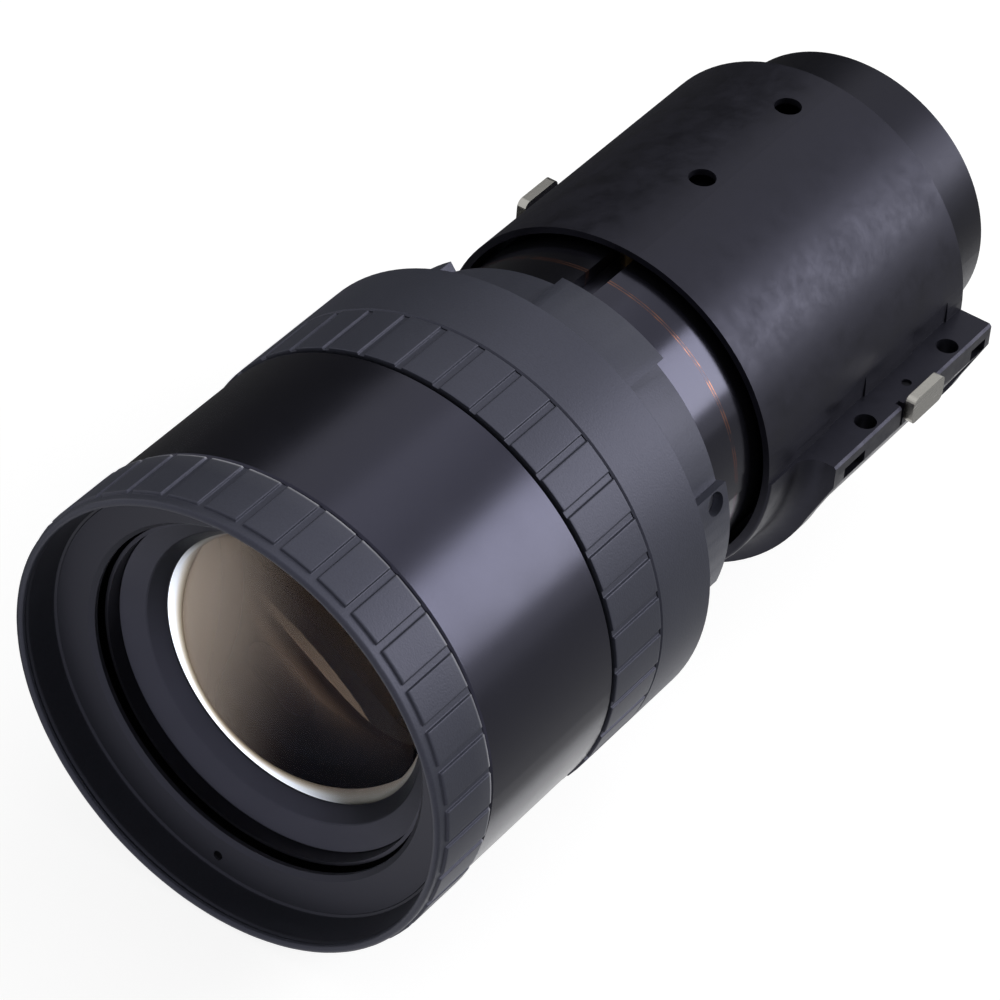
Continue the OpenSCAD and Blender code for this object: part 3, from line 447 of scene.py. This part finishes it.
# Front cell and its retainer
# The cell is turned aluminium, anodised black, and three pins keep it from turning. The
# dished retainer screws into its nose and presses on the front glass.
def anodised(name, colour, roughness, grain, shine=0.5):
    """Black anodised aluminium: a dark dyed oxide skin over turned or blasted metal.

    The grain, from 0 to 1, is how strongly the blasting shows, and the shine how much
    a straight view reflects, with 0.5 for the bare oxide and less for a dull dye. Real
    blasting is about 0.1 mm from pit to pit, and is drawn at 0.5 mm so that it shows.
    """
    material, tree = new_material(name)
    where = add_node(tree, "ShaderNodeTexCoord")
    blast = add_node(tree, "ShaderNodeTexNoise", {"Vector": where.outputs["Object"],
                                                  "Scale": 1 / (0.5 * MM), "Detail": 4.0})
    cloud = add_node(tree, "ShaderNodeTexNoise", {"Vector": where.outputs["Object"],
                                                  "Scale": 1 / (9 * MM), "Detail": 3.0})
    both = add_node(tree, "ShaderNodeMath", {0: blast.outputs[0], 1: cloud.outputs[0]}, operation="ADD")
    rough = add_node(tree, "ShaderNodeMapRange", {"Value": both.outputs[0], "From Min": 0.6,
                                                  "From Max": 1.4, "To Min": roughness * 0.85,
                                                  "To Max": roughness * 1.15})
    bump = add_node(tree, "ShaderNodeBump", {"Strength": grain, "Distance": 0.008 * MM,
                                             "Height": blast.outputs[0]})
    surface = add_node(tree, "ShaderNodeBsdfPrincipled", {
        "Base Color": linear(colour), "Roughness": rough.outputs[0], "IOR": 1.5,
        "Specular IOR Level": shine, "Specular Tint": linear("#d6d6ff"), "Normal": bump.outputs[0]})
    add_node(tree, "ShaderNodeOutputMaterial", {"Surface": surface.outputs[0]})
    return material


# Turned and dyed aluminium: a quiet satin black that keeps stray light down
cell_black = anodised("turned_aluminium_dyed_black", "#141417", 0.35, 0.2)
finish(["front_cell"], cell_black)
# Zinc-plated steel, cold and bright in its recess
screw_steel = plain_metal("zinc_plated_steel", "#c6c8ce", 0.36, 0.3, 2)
finish(["focus_guide_pins"], screw_steel)

retainer_low, retainer_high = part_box("front_retainer")
retainer_r = retainer_high.x / MM
retainer_s = (retainer_low.y - front_y) / MM
retainer_end = (retainer_high.y - front_y) / MM
retainer_width = 6.8
clear_r = retainer_r - retainer_width
bore_len = 0.4
# The dish is two cones, with a small step between them
step_r = clear_r + 2.4
step_s = retainer_s + 2.3
step = 0.25
section = eased_section([
    (retainer_r, retainer_s, 0.15), (retainer_r, retainer_end, 0.05), (clear_r, retainer_end, 0.05),
    (clear_r, retainer_end - bore_len, 0.1), (step_r - step, step_s + step, 0.05),
    (step_r, step_s, 0.08)], 3)
turn = np.linspace(0, 2 * math.pi, 256, endpoint=False)
retainer = closed_grid("front_retainer_turning", section[:, :1], section[:, 1], turn)
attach(retainer, "front_group")
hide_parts("front_retainer")
# Blasted before it was dyed, so that the dish shines softly all round
retainer.data.materials.append(anodised("blasted_aluminium_dyed_grey", "#222325", 0.42, 0.1, 0.6))


# Front glasses
# The big front glass is a coated meniscus: both faces bulge to the front, the rear one
# less. Two thin glasses stand behind it in the cell.
def coated_glass(name, ior, kept, tint, bends=True):
    """Polished optical glass. The coating keeps only a share of the bare glass's reflection
    R(i) and gives it a tint: the skin mirrors kept x R and lets the rest through, bent
    by Snell's law or, in a thin glass, straight on.
    """
    material, tree = new_material(name)
    bare = add_node(tree, "ShaderNodeFresnel", {"IOR": ior})
    share = add_node(tree, "ShaderNodeMath", {0: bare.outputs[0], 1: kept}, operation="MULTIPLY")
    mirror = add_node(tree, "ShaderNodeBsdfGlossy", {"Color": linear(tint), "Roughness": 0.01})
    if bends:
        through = add_node(tree, "ShaderNodeBsdfRefraction", {"IOR": ior, "Roughness": 0.0})
    else:
        through = add_node(tree, "ShaderNodeBsdfTransparent")
    skin = add_node(tree, "ShaderNodeMixShader", {0: share.outputs[0], 1: through.outputs[0],
                                                  2: mirror.outputs[0]})
    add_node(tree, "ShaderNodeOutputMaterial", {"Surface": skin.outputs[0]})
    return material


# Multicoated crown glass: clear, with a weak cool reflection
front_glass = coated_glass("multicoated_crown_glass", 1.52, 0.05, "#c9d4ff")


def meniscus_section():
    """The front glass's section: two polished balls that bulge to the front, and the rim.

    A ball of radius R with its centre at c has s = c - sqrt(R R - r r).
    """
    share = np.linspace(0, 1, polished_steps) ** 0.8
    front = np.stack([clear_r * share, dome_centre - np.sqrt(dome_r ** 2 - (clear_r * share) ** 2)], 1)
    back_centre = rim_end_s + math.sqrt(back_r ** 2 - back_clear_r ** 2)
    back = np.stack([back_clear_r * share,
                     back_centre - np.sqrt(back_r ** 2 - (back_clear_r * share) ** 2)], 1)
    rim = [(clear_r + 0.2, seat_s), (element_r - chamfer, seat_s), (element_r, seat_s + chamfer),
           (element_r, rim_end_s - chamfer), (element_r - chamfer, rim_end_s),
           (back_clear_r + 0.2, rim_end_s)]
    return np.concatenate([front, rim, back[::-1]])


element_low, element_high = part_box("front_element")
element_r = element_high.x / MM
apex_s = (element_low.y - front_y) / MM
seat_s = retainer_end + 0.04
dome_r = (clear_r ** 2 + (seat_s - apex_s) ** 2) / (2 * (seat_s - apex_s))
dome_centre = apex_s + dome_r
back_r = 115
back_clear_r = 31.2
chamfer = 0.4
polished_steps = 24
rim_end_s = (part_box("front_spacer")[0].y - front_y) / MM - 0.08
section = meniscus_section()
front_element = closed_grid("front_element_meniscus", section[:, :1], section[:, 1], turn)
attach(front_element, "front_group")
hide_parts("front_element")
front_element.data.materials.append(front_glass)
# The rim is ground, not polished, and its white edge shows through the glass
ground_rim, tree = new_material("ground_glass_rim")
surface = add_node(tree, "ShaderNodeBsdfPrincipled", {"Base Color": linear("#fbfaf4"), "Roughness": 0.7})
add_node(tree, "ShaderNodeOutputMaterial", {"Surface": surface.outputs[0]})
front_element.data.materials.append(ground_rim)
ground = np.zeros(len(section), np.int32)
ground[polished_steps:-polished_steps] = 1
front_element.data.polygons.foreach_set("material_index", np.repeat(ground, turn.size))
# Each pole's points are merged into one, and the edge left between the poles goes
shell = bmesh.new()
shell.from_mesh(front_element.data)
bmesh.ops.remove_doubles(shell, verts=shell.verts, dist=1e-7)
bmesh.ops.delete(shell, geom=[edge for edge in shell.edges if not edge.link_faces], context="EDGES")
shell.to_mesh(front_element.data)
shell.free()

# The second glass carries a painted veil of light: a diffuse tone, thick at the left edge,
# that is cream where it is thick and brown where it is thin
painted_veil_glass = coated_glass("thin_glass_with_painted_veil", 1.1, 0.08, "#ffd9b8", False)
tree = painted_veil_glass.node_tree
where = add_node(tree, "ShaderNodeTexCoord")
painted_veil_angle = math.radians(190)
painted_veil_reach = 30 * MM
leftwards = (math.cos(painted_veil_angle) / painted_veil_reach, 0, math.sin(painted_veil_angle) / painted_veil_reach)
place = add_node(tree, "ShaderNodeVectorMath", {0: where.outputs["Object"], 1: leftwards},
                 operation="DOT_PRODUCT")
# How thick the painted veil is: nothing in the middle, up to 0.9 at the left edge
bloom = add_node(tree, "ShaderNodeMapRange", {"Value": place.outputs["Value"], "From Min": 0.2,
                                              "From Max": 1.15, "To Max": 0.9},
                 interpolation_type="SMOOTHSTEP")
tone = add_node(tree, "ShaderNodeMix", {"Factor": bloom.outputs[0], "A": linear("#4e3f38"),
                                        "B": linear("#ffeedd")}, data_type="RGBA")
veil = add_node(tree, "ShaderNodeBsdfDiffuse", {"Color": tone.outputs["Result"]})
clean = next(node for node in tree.nodes if node.type == "MIX_SHADER")
both = add_node(tree, "ShaderNodeMixShader", {0: bloom.outputs[0], 1: clean.outputs[0],
                                              2: veil.outputs[0]})
shown = next(node for node in tree.nodes if node.type == "OUTPUT_MATERIAL")
tree.links.new(both.outputs[0], shown.inputs["Surface"])
finish(["second_element"], painted_veil_glass)
# The third glass is as thin, and clean: clear, with a faint warm reflection
finish(["third_element"], coated_glass("thin_coated_glass", 1.1, 0.08, "#ffd9b8", False))


# Spacers of the front glasses
# Two turned aluminium rings keep the three glasses apart. The first has a dished lip, right
# behind the front glass, drawn pale and given a painted glow.
finish(["second_spacer"], cell_black)
spacer_low, spacer_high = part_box("front_spacer")
spacer_r = spacer_high.x / MM
spacer_s = (spacer_low.y - front_y) / MM
spacer_end = (spacer_high.y - front_y) / MM
lip_inner_r = 25.0
lip_outer_r = spacer_r - 1.6
seat_inner_r = spacer_r - 4.0
section = eased_section([
    (spacer_r, spacer_s, 0.1), (spacer_r, spacer_end, 0.1), (seat_inner_r, spacer_end, 0.1),
    (lip_inner_r, spacer_end - 0.1, 0.05), (lip_inner_r, spacer_end - 0.4, 0.05),
    (lip_outer_r, spacer_s + 0.6, 0.3), (lip_outer_r, spacer_s, 0.1)], 3)
front_spacer = closed_grid("front_spacer_turning", section[:, :1], section[:, 1], turn)
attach(front_spacer, "front_group")
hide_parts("front_spacer")
# Pale grey outside and darker brown inwards, with painted light: an emission glow that
# stands for the light that the rims of the glasses gather, cold outside and warm inside,
# all of it painted at the lower left
lip_with_painted_glow, tree = new_material("lip_tone_and_painted_glow")
where = add_node(tree, "ShaderNodeTexCoord")
flat = add_node(tree, "ShaderNodeVectorMath", {0: where.outputs["Object"], 1: (1, 0, 1)},
                operation="MULTIPLY")
reach = add_node(tree, "ShaderNodeVectorMath", {0: flat.outputs[0]}, operation="LENGTH")
outward = add_node(tree, "ShaderNodeMapRange", {"Value": reach.outputs["Value"],
                                                "From Min": 24.6 * MM, "From Max": 27.2 * MM},
                   interpolation_type="SMOOTHSTEP")
# The painted glow is strongest at the lower left, on the outer part of the lip
glow_angle = math.radians(222)
glow_reach = 28 * MM
glow_power = 1.4
towards = (math.cos(glow_angle) / glow_reach, 0, math.sin(glow_angle) / glow_reach)
place = add_node(tree, "ShaderNodeVectorMath", {0: where.outputs["Object"], 1: towards},
                 operation="DOT_PRODUCT")
side = add_node(tree, "ShaderNodeMapRange", {"Value": place.outputs["Value"], "From Min": 0.35,
                                             "From Max": 0.95}, interpolation_type="SMOOTHSTEP")
painted_glow_mask = add_node(tree, "ShaderNodeMath", {0: outward.outputs[0], 1: side.outputs[0]},
               operation="MULTIPLY")
lip_tone = add_node(tree, "ShaderNodeMix", {"Factor": outward.outputs[0], "A": linear("#6a5a4c"),
                                         "B": linear("#8f8c86")}, data_type="RGBA")
glow = add_node(tree, "ShaderNodeMix", {"Factor": outward.outputs[0], "A": linear("#ffe9c0"),
                                        "B": linear("#eaf1ff")}, data_type="RGBA")
power = add_node(tree, "ShaderNodeMath", {0: painted_glow_mask.outputs[0], 1: glow_power}, operation="MULTIPLY")
surface = add_node(tree, "ShaderNodeBsdfPrincipled", {
    "Base Color": lip_tone.outputs["Result"], "Roughness": 0.4,
    "Emission Color": glow.outputs["Result"], "Emission Strength": power.outputs[0]})
add_node(tree, "ShaderNodeOutputMaterial", {"Surface": surface.outputs[0]})
front_spacer.data.materials.append(lip_with_painted_glow)


# Front barrel
# The smooth barrel between the two rings is turned aluminium, anodised black. Its sleeve
# carries the zoom ring, and four screws hold the guide barrel's flange on its web.
finish(["barrel_screws"], screw_steel)
# Blasted very finely: a deep black that mirrors the softbox as a long band with soft edges
finish(["front_barrel"], anodised("blasted_aluminium_dyed_black", "#111116", 0.23, 0.25))


# Zoom grip
# The second ribbed band is a nylon ring that is pressed on the zoom ring's sleeve. Its 36
# pads are the focus ring's, turned by half a pitch, with short walls at both ends.
grip_low, grip_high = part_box("zoom_grip")
grip_s = (grip_low.y - front_y) / MM
grip_end = (grip_high.y - front_y) / MM
grip_seat_r = skin_r - 1.7
ease = 0.1
quarter = np.linspace(0, math.pi / 2, 5)
outer_s = np.concatenate([
    grip_s + ease * (1 - np.cos(quarter)), [grip_s + 0.5, grip_s + 5, grip_end - 5, grip_end - 0.5],
    grip_end - ease + ease * np.sin(quarter)])
# The pads' share of their height falls from 1 to 0.7 on a sine quarter, then to 0.6
lift = np.concatenate([np.sin(quarter) * 0.3 + 0.7, np.ones(4), 0.7 + 0.3 * np.cos(quarter)])
lift[[0, -1]] = 0.6
outer = np.stack([np.full(len(outer_s), skin_r), outer_s], 1)
rear = np.array([(skin_r - ease, grip_end), (grip_seat_r + ease, grip_end), (grip_seat_r, grip_end - ease),
                 (grip_seat_r, grip_s + ease), (grip_seat_r + ease, grip_s), (skin_r - ease, grip_s)])
section = np.concatenate([outer, rear])
lift = np.concatenate([lift, np.zeros(len(rear))])
angle, height = pad_angles(ring_r, math.pi / pad_count)
zoom_grip = closed_grid("zoom_grip_moulding", section[:, :1] + pad_height * lift[:, None] * height,
                        section[:, 1], angle)
zoom_grip.data.materials.append(ring_nylon)
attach(zoom_grip, "zoom_body")
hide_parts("zoom_grip")


# Zoom cover and drive screws
# The plain band with its long skirt is moulded with the grip's sleeve. Raised lands on
# the skirt hold the dog-point screws that turn the cam barrel.
cover = eased_copy("zoom_cover", "zoom_cover_eased", 0.22, ring_nylon)
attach(cover, "zoom_body")
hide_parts("zoom_cover")
finish(["drive_screws"], screw_steel)


# Guide barrel
# The inner barrel is turned aluminium, polished and anodised black. The rollers of the
# zoom groups run in its straight slots, and two copper lines are rubbed round it.
barrel_dye = "#0b0b0e"
copper = "#7c5440"
# Polished before it was dyed: deep black with sharp bright bands
guide_black = anodised("polished_aluminium_dyed_black", barrel_dye, 0.17, 0.05)
# The rubbed lines are 0.6 mm apart, and d = ||y - y of the pair| - 0.3 mm| is the distance
# from the nearer one
pair_y = front_y + 112.5 * MM
pair_half = 0.3 * MM
tree = guide_black.node_tree
surface = next(node for node in tree.nodes if node.type == "BSDF_PRINCIPLED")
where = add_node(tree, "ShaderNodeTexCoord")
place = add_node(tree, "ShaderNodeSeparateXYZ", {"Vector": where.outputs["Object"]})
aside = add_node(tree, "ShaderNodeMath", {0: place.outputs["Y"], 1: pair_y}, operation="SUBTRACT")
aside = add_node(tree, "ShaderNodeMath", {0: aside.outputs[0]}, operation="ABSOLUTE")
aside = add_node(tree, "ShaderNodeMath", {0: aside.outputs[0], 1: pair_half}, operation="SUBTRACT")
aside = add_node(tree, "ShaderNodeMath", {0: aside.outputs[0]}, operation="ABSOLUTE")
line = add_node(tree, "ShaderNodeMapRange", {"Value": aside.outputs[0], "From Min": 0.04 * MM,
                                             "From Max": 0.16 * MM, "To Min": 1.0, "To Max": 0.0})
patchy = add_node(tree, "ShaderNodeTexNoise", {"Vector": where.outputs["Object"],
                                               "Scale": 1 / (3.5 * MM), "Detail": 5.0})
patchy = add_node(tree, "ShaderNodeMapRange", {"Value": patchy.outputs[0], "From Min": 0.36,
                                               "From Max": 0.56})
rubbed = add_node(tree, "ShaderNodeMath", {0: line.outputs[0], 1: patchy.outputs[0]},
                  operation="MULTIPLY")
shade = add_node(tree, "ShaderNodeMix", {"Factor": rubbed.outputs[0], "A": linear(barrel_dye),
                                         "B": linear(copper)}, data_type="RGBA")
tree.links.new(shade.outputs["Result"], surface.inputs["Base Color"])
tree.links.new(rubbed.outputs[0], surface.inputs["Metallic"])
finish(["guide_barrel"], guide_black)


# Cam barrel and its retainer
# Aluminium tube with milled cam slots, hard anodised black so that the rollers wear
# it little and no light scatters inside. A screwed ring keeps it in the guide barrel.
finish(["cam_barrel"], anodised("hard_anodised_aluminium", "#0d0d10", 0.3, 0.1))
finish(["cam_retainer"], cell_black)


# Zoom groups
# The variator and the compensator each hold two flint glasses in a turned cell, and three
# pins with brass rollers carry each cell in the cams and the straight slots.
finish(["variator_cell", "variator_retainer", "compensator_cell", "compensator_retainer"], cell_black)
# Turned brass, brown with old grease in its turning marks
finish(["variator_rollers", "compensator_rollers"],
       plain_metal("greased_brass", "#6e5a38", 0.4, 0.2, 1))
# Coated flint glass: clear, with a violet reflection
flint_glass = coated_glass("coated_flint_glass", 1.62, 0.12, "#d9ccff")
finish(["variator_front_element", "variator_rear_element", "compensator_front_element",
        "compensator_rear_element"], flint_glass)


# Relay and rear tube
# Behind the stop ring three fixed glasses sit between spacers in the rear tube, which is
# turned aluminium. Its blasting is soft, so that its sheen is duller than the barrel's.
finish(["stop_ring", "relay_spacer", "relay_rear_spacer", "rear_retainer"], cell_black)
finish(["relay_front_element", "relay_middle_element", "rear_element"], flint_glass)
finish(["rear_tube"], anodised("soft_blasted_aluminium_dyed_black", "#0c0c10", 0.36, 0.05, 0.26))


# Mount sleeve
# Black glass-filled resin, moulded with its saddle and wings and fixed by two screws.
# Handling has left the skin mottled, part satin and part shiny.
def moulded_resin(name):
    """Black resin whose roughness and shade follow a cloudy noise, under a fine grain.

    The real grain is about 0.1 mm, and is drawn at 0.6 mm so that it shows.
    """
    material, tree = new_material(name)
    where = add_node(tree, "ShaderNodeTexCoord")
    mottle = add_node(tree, "ShaderNodeTexNoise", {"Vector": where.outputs["Object"],
                                                   "Scale": 1 / (5 * MM), "Detail": 9.0,
                                                   "Roughness": 0.72})
    fine = add_node(tree, "ShaderNodeTexNoise", {"Vector": where.outputs["Object"],
                                                 "Scale": 1 / (0.6 * MM), "Detail": 3.0})
    rough = add_node(tree, "ShaderNodeMapRange", {"Value": mottle.outputs[0], "From Min": 0.3,
                                                  "From Max": 0.7, "To Min": 0.3, "To Max": 0.5})
    shade = add_node(tree, "ShaderNodeMix", {"Factor": mottle.outputs[0], "A": linear("#08080b"),
                                             "B": linear("#202027")}, data_type="RGBA")
    bump = add_node(tree, "ShaderNodeBump", {"Strength": 0.3, "Distance": 0.012 * MM,
                                             "Height": fine.outputs[0]})
    surface = add_node(tree, "ShaderNodeBsdfPrincipled", {
        "Base Color": shade.outputs["Result"], "Roughness": rough.outputs[0], "IOR": 1.5,
        "Specular IOR Level": 0.3, "Specular Tint": linear("#d6d6ff"), "Normal": bump.outputs[0]})
    add_node(tree, "ShaderNodeOutputMaterial", {"Surface": surface.outputs[0]})
    return material


sleeve = eased_copy("mount_sleeve", "mount_sleeve_eased", 0.22, moulded_resin("black_moulded_resin"))
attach(sleeve, "lens_body")
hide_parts("mount_sleeve")
finish(["sleeve_screws"], black_steel)


# Locating keys
# Two ground steel blocks stand over the wings and locate the lens in its holder. Pins of
# blackened steel hold them by their tongues.
finish(["key_pins"], black_steel)
# Nickel plating: a warm grey that brightens where it faces the light
finish(["right_key", "left_key"], plain_metal("nickel_plated_steel", "#a9a7a2", 0.24, 0.4, 1))
